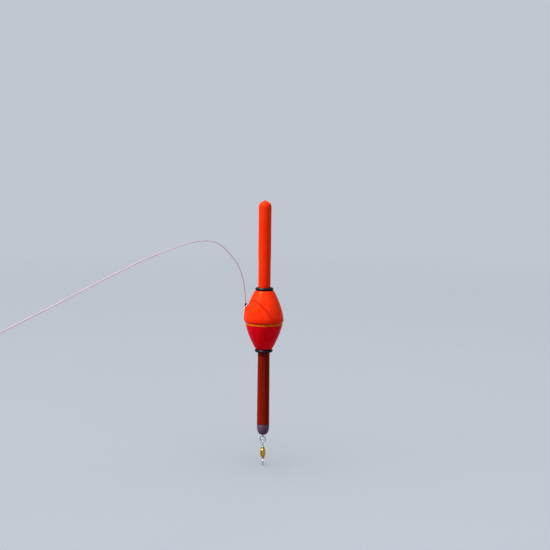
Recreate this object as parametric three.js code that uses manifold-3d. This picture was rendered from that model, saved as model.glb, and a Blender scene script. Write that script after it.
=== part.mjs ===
// A pear-bodied fishing float: pull-out antenna, hollow two-shell body, ballasted keel with a swivel,
// and the fishing line tied to its side eye. Millimetres, +Z up, origin on the float's axis at the
// water's surface. The side eye points to -X.

import * as THREE from 'three';
import { mergeVertices } from 'three/addons/utils/BufferGeometryUtils.js';
import Module from 'manifold-3d';

const wasm = await Module();
wasm.setup();

// ---------------------------------------------------------------- driving dimensions

const BODY_SEGMENTS = 40; // facets around the body and its joint band
const STEM_SEGMENTS = 28; // facets around the antenna, the keel and the pieces on the axis
const RING_SIDES = 10; // facets around the section of a rubber ring
const WIRE_SIDES = 8; // facets around a wire
const LOOP_SEGMENTS = 20; // facets along a wire loop
const WALL = 0.6; // thickness of the moulded shells

// The body's outline is radius * (1 - (height / length) ^ bulge) ^ taper, away from the waterline.
const UPPER_OUTLINE = { radius: 8.12, length: 17.7, bulge: 1.5, taper: 0.83 };
const LOWER_OUTLINE = { radius: 7.9, length: 17.0, bulge: 1.5, taper: 0.9 };
const BODY_TOP = 12.4;
const BODY_BOTTOM = -12.2;
const EDGE = { width: 0.2, height: 0.3 }; // chamfer at the small end of each shell

const BAND_TOP = -1.0; // the joint band shows between the two shells
const BAND_BOTTOM = -1.95;
const BAND_RADIUS = 7.68;
const JOINT_BORE = 6.82; // inner radius of both shells where the band's sleeve enters them
const LIP = { step: 0.04, flare: 0.22, height: 0.4, top: 0.1 }; // upper shell's edge over the band
const BAND_EDGE = { width: 0.05, height: 0.15 }; // chamfer on the band's rim
const SLEEVE = { radius: 6.75, bore: 6.35, top: 0.75, bottom: -2.75, end: 0.15, root: 0.4 };
const FACE_GAP = 0.04; // glue line between seated faces

const ANTENNA_BASE = BODY_TOP + FACE_GAP;
const ANTENNA_TOP = 49.9;
const ANTENNA_BASE_RADIUS = 2.48;
const ANTENNA_SLIM = { radius: 2.5, height: 23.5 }; // slim up to here
const ANTENNA_FULL = { radius: 2.6, height: 28.0 }; // and full from here
const ANTENNA_TOP_RADIUS = 2.63;
const ANTENNA_BORE = { radius: 2.0, bottom: 0.6, domeDrop: 0.6, domeRise: 1.95 };
const DOME_HEIGHT = 2.65;
const NIB = { height: 0.25, radius: 0.42, side: 0.05, crown: 0.3, crownDrop: 0.04 };
const DOME_BASE = ANTENNA_TOP - NIB.height - DOME_HEIGHT;
const SPIGOT = { radius: 1.95, bore: 1.5, bottom: 6.4, edgeWidth: 0.2, edgeHeight: 0.4 };

const RING_SECTION = 0.62; // radius of the rubber rings' section
const ANTENNA_RING_RADIUS = 3.14;
const KEEL_RING_RADIUS = 3.1;

const SOCKET = { radius: 2.7, bore: 2.0, floor: 6.2, waist: 5.5, stemRadius: 2.2, bottom: 3.0 };
const NECK_BORE = 2.77; // upper shell's neck, around the antenna socket
const NECK_SLEEVE = { radius: 3.3, bottom: 8.6, root: 11.0 };

const CORE_TUBE = { radius: 1.5, bore: 1.0, top: 5.3, bottom: -11.0 };
const CORE_SEAT = 1.56; // bore of every piece that the core tube passes through

const KEEL_TOP = BODY_BOTTOM - FACE_GAP;
const KEEL_BOTTOM = -44.0;
const KEEL_TOP_RADIUS = 2.44;
const KEEL_BOTTOM_RADIUS = 2.58;
const KEEL_BORE = 2.0;
const KEEL_SPIGOT = { radius: 1.94, top: -6.6, boreEnd: -12.8, boreFlare: 0.6 };
const KEEL_NECK = { bore: 2.0, radius: 2.7, top: -6.5, root: -9.4 };

const KEEL_BALLAST = { radius: 1.92, top: -40.0, bottom: -42.4 };
const PLUG = { spigot: 1.94, top: -42.5, shoulder: -45.2, tip: -48.6, tipRadius: 0.95 };
const PLUG_HOLE = { radius: 0.38, room: 0.1 }; // for the bottom eye's shank

const SIDE_EYE = { height: 6.1, centre: -7.23, loop: 0.42, wire: 0.18, shankEnd: -4.7 };
const SIDE_EYE_HEAD = { radius: 0.42, length: 0.3 }; // keeps the shank inside the shell
const SIDE_EYE_HOLE = { radius: 0.32, length: 3, centre: -6.3 };

// The rib under the side eye: how far it stands out of the body at four heights.
const FIN = { bottom: -1.0, crest: 5.35, shoulder: 5.75, top: 5.88, thickness: 1.8, steps: 8 };
const FIN_PROUD = { bottom: 0.12, crest: 0.9, shoulder: 0.63, top: 0.12 };

const BOTTOM_EYE = { centre: -50.6, loop: 1.1, wire: 0.3, shankTop: -44.9 };
const SWIVEL = { loop: 1.1, wire: 0.28, clearance: 0.03, shank: 1.7, head: 0.6, headLength: 0.45 };
const BARREL = { radius: 1.15, neck: 0.75, hole: 0.38, chamber: 0.8, length: 4.2, wall: 0.75 };
const BARREL_END = { shoulder: 0.87, neckLength: 0.5, length: 0.9 };
const HEAD_GAP = 0.05; // between a swivel end's head and the wall that keeps it

const LINE_RADIUS = 0.175;
const LINE_STEPS = 76;
const LINE_SIDES = 8;
const LINE_KNOT = { radius: 0.42, bottom: 6.53, top: 7.05 };
const END_LOOP = { length: 9.0, width: 4.0, wire: 0.3, gap: 0.3 };
const END_KNOT = { radius: 0.75, length: 2.2, overlap: 0.4 };

// The fishing line rises from its knot at the side eye, arches over and comes down towards the rod.
const LINE_ROUTE = [
  [-7.65, 0, 7.35],
  [-7.9, -2, 10],
  [-8, -4.1, 12.4],
  [-8.35, -7.1, 15.8],
  [-8.9, -10.7, 18.9],
  [-9.8, -14.2, 22.1],
  [-11.1, -17.4, 25.2],
  [-13.6, -22.5, 29],
  [-16.3, -32, 32.8],
  [-19.1, -44, 35.3],
  [-21.7, -57, 36.4],
  [-25, -67.5, 36.6],
  [-28.4, -77.5, 36.1],
  [-33.4, -91, 34.7],
  [-38.2, -101.5, 33.1],
  [-44.2, -114.5, 30.4],
  [-51.2, -129, 27.1],
  [-60.2, -147.5, 22.7],
  [-69.2, -166, 18.5],
];

// ---------------------------------------------------------------- shape helpers

const point = (x, y) => new THREE.Vector2(x, y);

// A solid of revolution about +Z from a closed or axis-to-axis profile of [radius, height] pairs,
// which runs anticlockwise: up the outside, then down the inside.
function turned(profile, segments) {
  const points = profile.map(([radius, height]) => point(radius, height));
  return new THREE.LatheGeometry(points, segments).rotateX(Math.PI / 2);
}

function turnedRing(profile, segments) {
  return turned([...profile, profile[0]], segments);
}

// A loop of round wire about +Z, closed on itself.
function wireLoop(loopRadius, wireRadius) {
  return new THREE.TorusGeometry(loopRadius, wireRadius, WIRE_SIDES, LOOP_SEGMENTS);
}

// A round rod about +Z between two heights.
function rod(radius, bottom, top, segments) {
  return turned([[0, bottom], [radius, bottom], [radius, top], [0, top]], segments);
}

function roundSection(radius, sides) {
  const corners = [];
  for (let side = 0; side < sides; side += 1) {
    const angle = (side / sides) * Math.PI * 2;
    corners.push(point(radius * Math.cos(angle), radius * Math.sin(angle)));
  }
  return new THREE.Shape(corners);
}

function tubeAlong(curve, radius, sides, steps) {
  const section = roundSection(radius, sides);
  return new THREE.ExtrudeGeometry(section, { steps, extrudePath: curve, bevelEnabled: false });
}

// A closed mesh as a manifold solid: shared corners are merged and collapsed triangles dropped.
function solidOf(geometry) {
  const bare = geometry.clone();
  bare.deleteAttribute('normal');
  bare.deleteAttribute('uv');
  const merged = mergeVertices(bare, 1e-4);
  const corners = merged.index.array;
  const kept = [];
  for (let i = 0; i < corners.length; i += 3) {
    const [a, b, c] = [corners[i], corners[i + 1], corners[i + 2]];
    if (a !== b && b !== c && c !== a) {
      kept.push(a, b, c);
    }
  }
  const vertProperties = Float32Array.from(merged.attributes.position.array);
  const triVerts = Uint32Array.from(kept);
  return new wasm.Manifold(new wasm.Mesh({ numProp: 3, vertProperties, triVerts }));
}

function geometryOf(solid) {
  const mesh = solid.getMesh();
  const geometry = new THREE.BufferGeometry();
  geometry.setAttribute('position', new THREE.BufferAttribute(mesh.vertProperties, 3));
  geometry.setIndex(new THREE.BufferAttribute(mesh.triVerts, 1));
  geometry.computeVertexNormals();
  return geometry;
}

function joined(first, ...others) {
  let solid = solidOf(first);
  for (const other of others) {
    solid = solid.add(solidOf(other));
  }
  return geometryOf(solid);
}

function outlineRadius(outline, height) {
  const share = Math.abs(height) / outline.length;
  return outline.radius * (1 - share ** outline.bulge) ** outline.taper;
}

// Points of a body outline from one height to another, moved inwards by inset.
function outlinePoints(outline, from, to, count, inset = 0) {
  const points = [];
  for (let i = 0; i <= count; i += 1) {
    const height = from + ((to - from) * i) / count;
    points.push([outlineRadius(outline, height) - inset, height]);
  }
  return points;
}

// A quarter ellipse from the rim of a cylinder to the axis, as [radius, height] pairs.
function domePoints(radius, base, rise, count, end = Math.PI / 2) {
  const points = [];
  for (let i = 0; i <= count; i += 1) {
    const angle = (end * i) / count;
    points.push([radius * Math.cos(angle), base + rise * Math.sin(angle)]);
  }
  return points;
}

// ---------------------------------------------------------------- finishes

function finish(color, roughness, metalness = 0) {
  return new THREE.MeshStandardMaterial({ color, roughness, metalness });
}

const finishes = {
  signalPlastic: finish('#ff4a1e', 0.38),
  deepRedPlastic: finish('#a80a1c', 0.35),
  brickPlastic: finish('#84200e', 0.35),
  bandPlastic: finish('#dd8200', 0.4),
  rubber: finish('#0e1116', 0.3),
  nylon: finish('#e6e2d6', 0.5),
  carbon: finish('#26282c', 0.45),
  smokePlastic: finish('#54465c', 0.35),
  brass: finish('#c39a4b', 0.32, 1),
  steel: finish('#b4b6b8', 0.3, 1),
  monofilament: finish('#b79f9c', 0.25),
  knotLine: finish('#4a3a58', 0.5),
};

// ---------------------------------------------------------------- antenna

// A moulded tube, closed by a dome with a small nib, on a thinner spigot that plugs into the body.
function antennaTube() {
  const nib = [
    [NIB.radius, ANTENNA_TOP - NIB.height + NIB.side],
    [NIB.crown, ANTENNA_TOP - NIB.crownDrop],
    [0, ANTENNA_TOP],
  ];
  const boreDome = DOME_BASE - ANTENNA_BORE.domeDrop;
  const bore = domePoints(ANTENNA_BORE.radius, boreDome, ANTENNA_BORE.domeRise, 4).reverse();
  const profile = [
    ...bore,
    [ANTENNA_BORE.radius, ANTENNA_BASE + ANTENNA_BORE.bottom],
    [SPIGOT.bore, ANTENNA_BASE],
    [SPIGOT.bore, SPIGOT.bottom],
    [SPIGOT.radius - SPIGOT.edgeWidth, SPIGOT.bottom],
    [SPIGOT.radius, SPIGOT.bottom + SPIGOT.edgeHeight],
    [SPIGOT.radius, ANTENNA_BASE],
    [ANTENNA_BASE_RADIUS, ANTENNA_BASE],
    [ANTENNA_SLIM.radius, ANTENNA_SLIM.height],
    [ANTENNA_FULL.radius, ANTENNA_FULL.height],
    ...domePoints(ANTENNA_TOP_RADIUS, DOME_BASE, DOME_HEIGHT, 6, Math.PI * 0.45),
    ...nib,
  ];
  return turned(profile, STEM_SEGMENTS);
}

function rubberRing(ringRadius) {
  return new THREE.TorusGeometry(ringRadius, RING_SECTION, RING_SIDES, STEM_SEGMENTS);
}

// The bush in the upper shell's neck: antenna socket above, seat for the core tube below.
function antennaSocket() {
  const top = BODY_TOP - FACE_GAP;
  return turned([
    [0, SOCKET.waist],
    [CORE_SEAT, SOCKET.waist],
    [CORE_SEAT, SOCKET.bottom],
    [SOCKET.stemRadius, SOCKET.bottom],
    [SOCKET.stemRadius, SOCKET.floor],
    [SOCKET.radius, SOCKET.floor + 1],
    [SOCKET.radius, top],
    [SOCKET.bore, top],
    [SOCKET.bore, SOCKET.floor],
    [0, SOCKET.floor],
  ], STEM_SEGMENTS);
}

// ---------------------------------------------------------------- body

// The raised rib under the side eye: proudest just below the eye, running out downwards.
function finShape() {
  const outer = [];
  const inner = [];
  for (let i = 0; i <= FIN.steps; i += 1) {
    const share = i / FIN.steps;
    const height = FIN.bottom + (FIN.crest - FIN.bottom) * share;
    const wall = outlineRadius(UPPER_OUTLINE, height);
    const proud = FIN_PROUD.bottom + (FIN_PROUD.crest - FIN_PROUD.bottom) * share;
    outer.push(point(-wall - proud, height));
    inner.push(point(-wall + WALL / 2, height));
  }
  const shoulderWall = outlineRadius(UPPER_OUTLINE, FIN.shoulder);
  const topWall = outlineRadius(UPPER_OUTLINE, FIN.top);
  outer.push(point(-shoulderWall - FIN_PROUD.shoulder, FIN.shoulder));
  outer.push(point(-topWall - FIN_PROUD.top, FIN.top));
  outer.push(point(-topWall + WALL / 2, FIN.top));
  return new THREE.Shape([...outer, ...inner.reverse()]);
}

function sideFin() {
  const depth = FIN.thickness;
  const fin = new THREE.ExtrudeGeometry(finShape(), { depth, bevelEnabled: false });
  return fin.rotateX(Math.PI / 2).translate(0, depth / 2, 0);
}

function upperShell() {
  const outside = outlinePoints(UPPER_OUTLINE, LIP.top, BODY_TOP - EDGE.height, 10);
  const inside = outlinePoints(UPPER_OUTLINE, NECK_SLEEVE.root, SLEEVE.top + SLEEVE.root, 5, WALL);
  const shell = turnedRing([
    [BAND_RADIUS + LIP.step, BAND_TOP],
    [BAND_RADIUS + LIP.flare, BAND_TOP + LIP.height],
    ...outside,
    [outlineRadius(UPPER_OUTLINE, BODY_TOP) - EDGE.width, BODY_TOP],
    [NECK_BORE, BODY_TOP],
    [NECK_BORE, NECK_SLEEVE.bottom],
    [NECK_SLEEVE.radius, NECK_SLEEVE.bottom],
    [NECK_SLEEVE.radius, NECK_SLEEVE.root],
    ...inside,
    [JOINT_BORE, SLEEVE.top + SLEEVE.end],
    [JOINT_BORE, BAND_TOP],
  ], BODY_SEGMENTS);
  const { radius, length, centre } = SIDE_EYE_HOLE;
  const eyeHole = new THREE.CylinderGeometry(radius, radius, length, 12)
    .rotateZ(Math.PI / 2)
    .translate(centre, 0, SIDE_EYE.height);
  const withFin = solidOf(shell).add(solidOf(sideFin()));
  return geometryOf(withFin.subtract(solidOf(eyeHole)));
}

// The two shells are glued onto this ring: its sleeve enters both, and its rim shows as the band.
function waterlineBand() {
  const top = BAND_TOP - FACE_GAP;
  const bottom = BAND_BOTTOM + FACE_GAP;
  return turnedRing([
    [SLEEVE.bore, SLEEVE.bottom],
    [SLEEVE.radius, SLEEVE.bottom],
    [SLEEVE.radius, bottom],
    [BAND_RADIUS - BAND_EDGE.width, bottom],
    [BAND_RADIUS, bottom + BAND_EDGE.height],
    [BAND_RADIUS, top - BAND_EDGE.height],
    [BAND_RADIUS - BAND_EDGE.width, top],
    [SLEEVE.radius, top],
    [SLEEVE.radius, SLEEVE.top],
    [SLEEVE.bore, SLEEVE.top],
  ], BODY_SEGMENTS);
}

function lowerShell() {
  const outside = outlinePoints(LOWER_OUTLINE, BODY_BOTTOM + EDGE.height, BAND_BOTTOM, 10);
  const inside = outlinePoints(LOWER_OUTLINE, SLEEVE.bottom - SLEEVE.root, KEEL_NECK.root, 5, WALL);
  return turnedRing([
    [KEEL_NECK.bore, BODY_BOTTOM],
    [outlineRadius(LOWER_OUTLINE, BODY_BOTTOM) - EDGE.width, BODY_BOTTOM],
    ...outside,
    [JOINT_BORE, BAND_BOTTOM],
    [JOINT_BORE, SLEEVE.bottom - SLEEVE.end],
    ...inside,
    [KEEL_NECK.radius, KEEL_NECK.root],
    [KEEL_NECK.radius, KEEL_NECK.top],
    [KEEL_NECK.bore, KEEL_NECK.top],
  ], BODY_SEGMENTS);
}

function coreTube() {
  return turnedRing([
    [CORE_TUBE.bore, CORE_TUBE.bottom],
    [CORE_TUBE.radius, CORE_TUBE.bottom],
    [CORE_TUBE.radius, CORE_TUBE.top],
    [CORE_TUBE.bore, CORE_TUBE.top],
  ], STEM_SEGMENTS);
}

// ---------------------------------------------------------------- side eye

function sideEye() {
  const loop = wireLoop(SIDE_EYE.loop, SIDE_EYE.wire);
  const shankStart = -SIDE_EYE.loop;
  const shankEnd = SIDE_EYE.centre - SIDE_EYE.shankEnd;
  const shank = rod(SIDE_EYE.wire, shankEnd, shankStart, 12).rotateY(-Math.PI / 2);
  const head = rod(SIDE_EYE_HEAD.radius, shankEnd - SIDE_EYE_HEAD.length, shankEnd, 12)
    .rotateY(-Math.PI / 2);
  return joined(loop, shank, head);
}

// ---------------------------------------------------------------- keel

function keelTube() {
  return turnedRing([
    [KEEL_BORE, KEEL_BOTTOM],
    [KEEL_BOTTOM_RADIUS, KEEL_BOTTOM],
    [KEEL_TOP_RADIUS, KEEL_TOP],
    [KEEL_SPIGOT.radius, KEEL_TOP],
    [KEEL_SPIGOT.radius, KEEL_SPIGOT.top],
    [CORE_SEAT, KEEL_SPIGOT.top],
    [CORE_SEAT, KEEL_SPIGOT.boreEnd],
    [KEEL_BORE, KEEL_SPIGOT.boreEnd - KEEL_SPIGOT.boreFlare],
  ], STEM_SEGMENTS);
}

// The foot: a spigot in the keel, a rim as wide as the keel and a rounded nose.
function keelPlug() {
  const rise = PLUG.shoulder - PLUG.tip;
  const holeEnd = BOTTOM_EYE.shankTop + PLUG_HOLE.room;
  const steps = 6;
  const nose = [];
  for (let i = 0; i <= steps; i += 1) {
    const angle = (Math.PI / 2) * (i / steps);
    const radius = PLUG.tipRadius + (KEEL_BOTTOM_RADIUS - PLUG.tipRadius) * Math.sin(angle);
    nose.push([radius, PLUG.shoulder - rise * Math.cos(angle)]);
  }
  return turned([
    [0, holeEnd],
    [PLUG_HOLE.radius, holeEnd],
    [PLUG_HOLE.radius, PLUG.tip],
    ...nose,
    [KEEL_BOTTOM_RADIUS, KEEL_BOTTOM - FACE_GAP],
    [PLUG.spigot, KEEL_BOTTOM - FACE_GAP],
    [PLUG.spigot, PLUG.top],
    [0, PLUG.top],
  ], STEM_SEGMENTS);
}

function bottomEye() {
  const loop = wireLoop(BOTTOM_EYE.loop, BOTTOM_EYE.wire).rotateX(Math.PI / 2);
  const shank = rod(
    BOTTOM_EYE.wire,
    BOTTOM_EYE.loop,
    BOTTOM_EYE.shankTop - BOTTOM_EYE.centre,
    12,
  );
  return joined(loop, shank);
}

// ---------------------------------------------------------------- swivel

// A swivel end, from the middle of its loop: the loop, its shank and the head that the barrel keeps.
// It stands upright with the shank pointing down.
function swivelEnd() {
  const loop = wireLoop(SWIVEL.loop, SWIVEL.wire).rotateY(Math.PI / 2);
  const headTop = -SWIVEL.loop - SWIVEL.shank;
  const shank = rod(SWIVEL.wire, headTop, -SWIVEL.loop, 12);
  const head = rod(SWIVEL.head, headTop - SWIVEL.headLength, headTop, 12);
  return joined(loop, shank, head);
}

// A waisted barrel with a hole at each end and a chamber that holds the two heads.
function swivelBarrel() {
  const half = BARREL.length / 2;
  const chamber = half - BARREL.wall;
  const outside = [
    [BARREL.neck, -half],
    [BARREL_END.shoulder, -half + BARREL_END.neckLength],
    [BARREL.radius, -half + BARREL_END.length],
    [BARREL.radius, half - BARREL_END.length],
    [BARREL_END.shoulder, half - BARREL_END.neckLength],
    [BARREL.neck, half],
  ];
  const inside = [
    [BARREL.hole, half],
    [BARREL.hole, chamber],
    [BARREL.chamber, chamber],
    [BARREL.chamber, -chamber],
    [BARREL.hole, -chamber],
    [BARREL.hole, -half],
  ];
  return turnedRing([...outside, ...inside], 20);
}

// ---------------------------------------------------------------- line

const LINE_CURVE = new THREE.CatmullRomCurve3(
  LINE_ROUTE.map(([x, y, z]) => new THREE.Vector3(x, y, z)),
  false,
  'centripetal',
);

function barrelKnot(radius, bottom, top, segments) {
  const waist = radius * 0.7;
  const bevel = radius * 0.5;
  return turned([
    [0, bottom],
    [waist, bottom],
    [radius, bottom + bevel],
    [radius, top - bevel],
    [waist, top],
    [0, top],
  ], segments);
}

// The loop knot at the line's far end, built along +Z from its knot.
function lineEndLoop() {
  const knot = barrelKnot(END_KNOT.radius, END_LOOP.gap, END_KNOT.length, 12);
  const loop = wireLoop(END_LOOP.width / 2, END_LOOP.wire)
    .rotateX(Math.PI / 2)
    .scale(1, 1, END_LOOP.length / (END_LOOP.width + 2 * END_LOOP.wire))
    .translate(0, 0, END_KNOT.length - END_KNOT.overlap + END_LOOP.length / 2);
  return joined(knot, loop);
}

// ---------------------------------------------------------------- assembly

const float = new THREE.Group();

function add(parent, name, geometry, material, height = 0) {
  const mesh = new THREE.Mesh(geometry, material);
  mesh.name = name;
  mesh.position.z = height;
  parent.add(mesh);
  return mesh;
}

const antennaRingHeight = BODY_TOP + RING_SECTION + FACE_GAP;
const keelRingHeight = BODY_BOTTOM - RING_SECTION - FACE_GAP;
add(float, 'antenna_tube', antennaTube(), finishes.signalPlastic);
add(float, 'antenna_o_ring', rubberRing(ANTENNA_RING_RADIUS), finishes.rubber, antennaRingHeight);
add(float, 'antenna_socket', antennaSocket(), finishes.nylon);
add(float, 'upper_shell', upperShell(), finishes.signalPlastic);
add(float, 'waterline_band', waterlineBand(), finishes.bandPlastic);
add(float, 'lower_shell', lowerShell(), finishes.deepRedPlastic);
add(float, 'core_tube', coreTube(), finishes.carbon);
add(float, 'keel_ring', rubberRing(KEEL_RING_RADIUS), finishes.rubber, keelRingHeight);
add(float, 'keel_tube', keelTube(), finishes.brickPlastic);
add(
  float,
  'keel_ballast',
  rod(KEEL_BALLAST.radius, KEEL_BALLAST.bottom, KEEL_BALLAST.top, 24),
  finishes.brass,
);
add(float, 'keel_plug', keelPlug(), finishes.smokePlastic);
add(float, 'bottom_eye', bottomEye(), finishes.steel, BOTTOM_EYE.centre);

const eye = add(float, 'side_eye', sideEye(), finishes.steel, SIDE_EYE.height);
eye.position.x = SIDE_EYE.centre;

// The swivel's top loop hangs inside the bottom eye, on the lowest part of its wire.
const hangHeight = BOTTOM_EYE.centre - BOTTOM_EYE.loop;
const topLoop = hangHeight + BOTTOM_EYE.wire + SWIVEL.wire + SWIVEL.clearance - SWIVEL.loop;
const headSeat = topLoop - SWIVEL.loop - SWIVEL.shank;
const barrelCentre = headSeat + HEAD_GAP - (BARREL.length / 2 - BARREL.wall);
add(float, 'swivel_top_loop', swivelEnd(), finishes.steel, topLoop);
add(float, 'swivel_barrel', swivelBarrel(), finishes.brass, barrelCentre);
const lowerLoop = add(
  float,
  'swivel_bottom_loop',
  swivelEnd(),
  finishes.steel,
  barrelCentre - (topLoop - barrelCentre),
);
lowerLoop.rotation.x = Math.PI;

const knot = barrelKnot(LINE_KNOT.radius, LINE_KNOT.bottom, LINE_KNOT.top, 16);
const eyeKnot = add(float, 'eye_knot', knot, finishes.knotLine);
eyeKnot.position.x = SIDE_EYE.centre - SIDE_EYE.loop;
const lineTube = tubeAlong(LINE_CURVE, LINE_RADIUS, LINE_SIDES, LINE_STEPS);
add(float, 'fishing_line', lineTube, finishes.monofilament);

const endLoop = add(float, 'line_end_loop', lineEndLoop(), finishes.monofilament);
endLoop.position.copy(LINE_CURVE.getPoint(1));
endLoop.quaternion.setFromUnitVectors(new THREE.Vector3(0, 0, 1), LINE_CURVE.getTangent(1));

export default float;
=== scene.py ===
"""The looks of a pear-bodied fishing float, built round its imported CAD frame.

Shapes are worked out in millimetres and become metres when a piece is built. +Z runs up the antenna,
-X points to the side eye and -Y to the viewer, as in the frame.
"""

import math

import bpy
from mathutils import Matrix, Vector


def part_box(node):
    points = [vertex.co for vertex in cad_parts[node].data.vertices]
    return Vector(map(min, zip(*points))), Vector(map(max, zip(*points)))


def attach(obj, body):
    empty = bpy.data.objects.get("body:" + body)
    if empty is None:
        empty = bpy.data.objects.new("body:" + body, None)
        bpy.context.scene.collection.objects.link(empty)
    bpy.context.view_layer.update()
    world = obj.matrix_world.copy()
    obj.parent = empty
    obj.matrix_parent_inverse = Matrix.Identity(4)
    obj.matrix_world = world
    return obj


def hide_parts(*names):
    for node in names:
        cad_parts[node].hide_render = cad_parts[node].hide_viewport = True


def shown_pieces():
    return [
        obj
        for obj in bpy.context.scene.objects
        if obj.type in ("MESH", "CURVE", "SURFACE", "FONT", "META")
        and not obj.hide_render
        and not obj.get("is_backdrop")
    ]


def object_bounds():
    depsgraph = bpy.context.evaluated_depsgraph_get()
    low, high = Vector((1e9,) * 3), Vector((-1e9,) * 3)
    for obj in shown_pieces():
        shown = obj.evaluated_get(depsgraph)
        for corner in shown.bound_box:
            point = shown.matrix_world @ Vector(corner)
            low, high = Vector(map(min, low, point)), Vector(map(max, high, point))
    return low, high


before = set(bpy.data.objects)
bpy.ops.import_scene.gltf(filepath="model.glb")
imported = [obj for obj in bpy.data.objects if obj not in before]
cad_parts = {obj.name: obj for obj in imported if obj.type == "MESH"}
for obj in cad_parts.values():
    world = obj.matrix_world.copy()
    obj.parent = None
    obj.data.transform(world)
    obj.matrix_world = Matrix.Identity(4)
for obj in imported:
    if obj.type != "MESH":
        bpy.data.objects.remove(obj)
cad_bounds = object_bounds()

MM = 0.001


# ---------------------------------------------------------------- camera

CAMERA_PLACE = Vector((0.0, -0.4389, 0.0604))
CAMERA_PITCH = 5.4  # degrees down
CAMERA_YAW = 0.57  # degrees to the right
CAMERA_ROLL = 0.62  # degrees anticlockwise, which leans the picture clockwise
CAMERA_LENS = 69.38


def make_camera():
    data = bpy.data.cameras.new("camera")
    data.lens = CAMERA_LENS
    data.sensor_width = 36.0
    data.clip_start = 0.01
    data.clip_end = 50.0
    camera = bpy.data.objects.new("camera", data)
    bpy.context.scene.collection.objects.link(camera)
    turn = (
        Matrix.Rotation(math.radians(-CAMERA_YAW), 4, "Z")
        @ Matrix.Rotation(math.radians(90 - CAMERA_PITCH), 4, "X")
        @ Matrix.Rotation(math.radians(CAMERA_ROLL), 4, "Z")
    )
    camera.matrix_world = Matrix.Translation(CAMERA_PLACE) @ turn
    bpy.context.scene.camera = camera


make_camera()


# ---------------------------------------------------------------- sizes from the frame


class Extent:
    """The box of a CAD node in millimetres."""

    def __init__(self, node):
        low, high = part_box(node)
        self.left, self.right = low[0] / MM, high[0] / MM
        self.bottom, self.top = low[2] / MM, high[2] / MM
        self.radius = self.right
        self.middle = (self.bottom + self.top) / 2


def cad_radius(node, height):
    """The outside radius of a turned CAD node at the ring of corners nearest to a height."""
    corners = [v.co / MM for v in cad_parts[node].data.vertices]
    level = min((c.z for c in corners), key=lambda z: abs(z - height))
    return max(math.hypot(c.x, c.y) for c in corners if abs(c.z - level) < 0.01)


antenna_box = Extent("antenna_tube")
antenna_ring_box = Extent("antenna_o_ring")
socket_box = Extent("antenna_socket")
upper_box = Extent("upper_shell")
band_box = Extent("waterline_band")
lower_box = Extent("lower_shell")
core_box = Extent("core_tube")
keel_ring_box = Extent("keel_ring")
keel_box = Extent("keel_tube")
ballast_box = Extent("keel_ballast")
foot_box = Extent("keel_plug")
side_eye_box = Extent("side_eye")
bottom_eye_box = Extent("bottom_eye")
top_loop_box = Extent("swivel_top_loop")
barrel_box = Extent("swivel_barrel")
bottom_loop_box = Extent("swivel_bottom_loop")
knot_box = Extent("eye_knot")


# ---------------------------------------------------------------- mesh building

ROUND = 96  # segments around turned pieces
WIRE_SIDES = 14
CAP_HEIGHT = 0.6  # of a wire's rounded end, as a share of the wire's radius
CAP_STEPS = (0.35, 0.65, 0.9)


def rounded(corners, steps=4):
    """A profile from (radius, height, fillet) corners, each fillet turned into a short curve."""
    points = []
    for index, (radius, height, fillet) in enumerate(corners):
        here = Vector((radius, height))
        if not fillet:
            points.append(here)
            continue
        before = Vector(corners[index - 1][:2])
        after = Vector(corners[(index + 1) % len(corners)][:2])
        start = here.lerp(before, min(0.5, fillet / (before - here).length))
        end = here.lerp(after, min(0.5, fillet / (after - here).length))
        for step in range(steps + 1):
            share = step / steps
            points.append(start.lerp(here, share).lerp(here.lerp(end, share), share))
    return [tuple(p) for p in points]


def catmull(points, steps):
    """Points along a smooth curve through the given ones."""
    places = [Vector(p) for p in points]
    places = [2 * places[0] - places[1], *places, 2 * places[-1] - places[-2]]
    curve = []
    for a, b, c, d in zip(places, places[1:], places[2:], places[3:]):
        for step in range(steps):
            t = step / steps
            squared = (2 * a - 5 * b + 4 * c - d) * t**2
            cubed = (3 * b - a - 3 * c + d) * t**3
            curve.append(0.5 * (2 * b + (c - a) * t + squared + cubed))
    return [*curve, places[-2]]


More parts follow.
